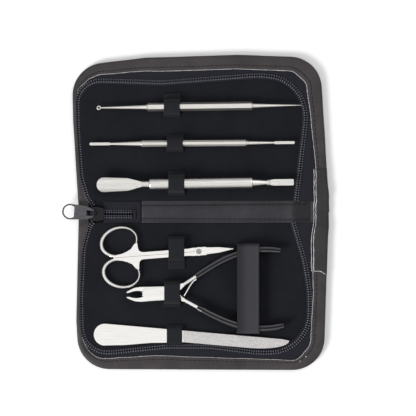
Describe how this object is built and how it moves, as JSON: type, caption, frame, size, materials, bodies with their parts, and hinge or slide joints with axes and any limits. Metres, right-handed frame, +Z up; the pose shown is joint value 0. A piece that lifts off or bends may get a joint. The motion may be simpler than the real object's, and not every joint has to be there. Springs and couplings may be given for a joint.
{
  "type": "manicure set case",
  "caption": "Zip-around manicure case lying open, two padded halves on a spine, with cuticle and nail instruments drawn from elastic loops.",
  "frame": {"origin": "middle of the underside of the spine, on the surface that the open case lies on", "axes": "+X to the right along the spine, +Y across to the half that holds the three rod instruments, +Z up out of the open case"},
  "size_m": [0.181, 0.214, 0.0139],
  "materials": {
    "leather": "grained, semi-matt",
    "card": "matt",
    "velvet": "matt pile",
    "tape": "woven",
    "nylon": "satin",
    "elastic": "ribbed",
    "gunmetal": "dark plated",
    "steel": "satin polished",
    "vinyl": "gloss dipped vinyl"
  },
  "bodies": {
    "case_lower": {"lower_cover": "leather", "lower_board": "card", "lower_lining": "velvet", "lower_zip_tape": "tape", "lower_zip_teeth": "nylon", "lower_end_patch": "leather", "scissors_loop": "elastic", "nipper_loop": "elastic", "nipper_band": "elastic", "file_loop": "elastic"},
    "spine": {"spine_cover": "leather", "spine_board": "card", "spine_strip": "leather", "spine_end_patch": "leather", "tail_tape": "tape", "tail_teeth": "nylon", "tail_stop": "gunmetal", "tail_hem": "tape"},
    "case_upper": {"upper_cover": "leather", "upper_board": "card", "upper_lining": "velvet", "upper_zip_tape": "tape", "upper_zip_teeth": "nylon", "upper_end_patch": "leather", "probe_loop": "elastic", "rasp_loop": "elastic", "pusher_loop": "elastic"},
    "slider": {"zip_slider": "gunmetal"},
    "pull": {"zip_pull": "gunmetal"},
    "probe": {"probe_handle": "steel", "probe_needle": "steel", "probe_ring_tip": "steel"},
    "rasp": {"rasp_handle": "steel", "rasp_left_tip": "steel", "rasp_right_tip": "steel"},
    "pusher": {"pusher_handle": "steel", "pusher_spoon": "steel", "pusher_blade": "steel"},
    "scissors": {"scissors_fixed_half": "steel", "scissors_screw": "steel"},
    "scissors_blade": {"scissors_moving_half": "steel"},
    "nipper": {"nipper_fixed_half": "steel", "nipper_upper_grip": "vinyl", "nipper_pivot": "steel", "nipper_spring": "steel", "nipper_spring_rivet": "steel"},
    "nipper_jaw": {"nipper_moving_half": "steel", "nipper_lower_grip": "vinyl"},
    "file": {"nail_file": "steel"}
  },
  "joints": [
    {"name": "spine_fold", "type": "hinge", "parent": "case_lower", "child": "spine", "pos_m": [0, -0.008, 0.004], "axis": [1, 0, 0], "range_deg": [0, 90]},
    {"name": "cover_fold", "type": "hinge", "parent": "spine", "child": "case_upper", "pos_m": [0, 0.008, 0.004], "axis": [1, 0, 0], "range_deg": [0, 90]},
    {"name": "slider_run", "type": "slide", "parent": "spine", "child": "slider", "axis": [1, 0, 0], "range_m": [0, 0.0185]},
    {"name": "pull_swing", "type": "hinge", "parent": "slider", "child": "pull", "pos_m": [-0.0751, -0.0012, 0.00715], "axis": [0.0819, 0.9966, 0], "range_deg": [0, 165]},
    {"name": "probe_draw", "type": "slide", "parent": "case_upper", "child": "probe", "axis": [-0.9999, -0.0131, 0], "range_m": [0, 0.095]},
    {"name": "rasp_draw", "type": "slide", "parent": "case_upper", "child": "rasp", "axis": [-1, -0.007, 0], "range_m": [0, 0.09]},
    {"name": "pusher_draw", "type": "slide", "parent": "case_upper", "child": "pusher", "axis": [-0.9999, -0.014, 0], "range_m": [0, 0.09]},
    {"name": "scissors_draw", "type": "slide", "parent": "case_lower", "child": "scissors", "axis": [-0.9971, -0.0767, 0], "range_m": [0, 0.052]},
    {"name": "scissors_pivot", "type": "hinge", "parent": "scissors", "child": "scissors_blade", "pos_m": [-0.0035, -0.0269, 0.0063], "axis": [0, 0, -1], "range_deg": [0, 20]},
    {"name": "nipper_draw", "type": "slide", "parent": "case_lower", "child": "nipper", "axis": [1, 0, 0], "range_m": [0, 0.095]},
    {"name": "nipper_squeeze", "type": "hinge", "parent": "nipper", "child": "nipper_jaw", "pos_m": [-0.0214, -0.0549, 0.0076], "axis": [0, 0, 1], "range_deg": [0, 4.5], "stiffness_Nm_per_rad": 1.5, "springref_deg": -4.58},
    {"name": "file_draw", "type": "slide", "parent": "case_lower", "child": "file", "axis": [-0.9962, 0.0872, 0], "range_m": [0, 0.09]}
  ]
}
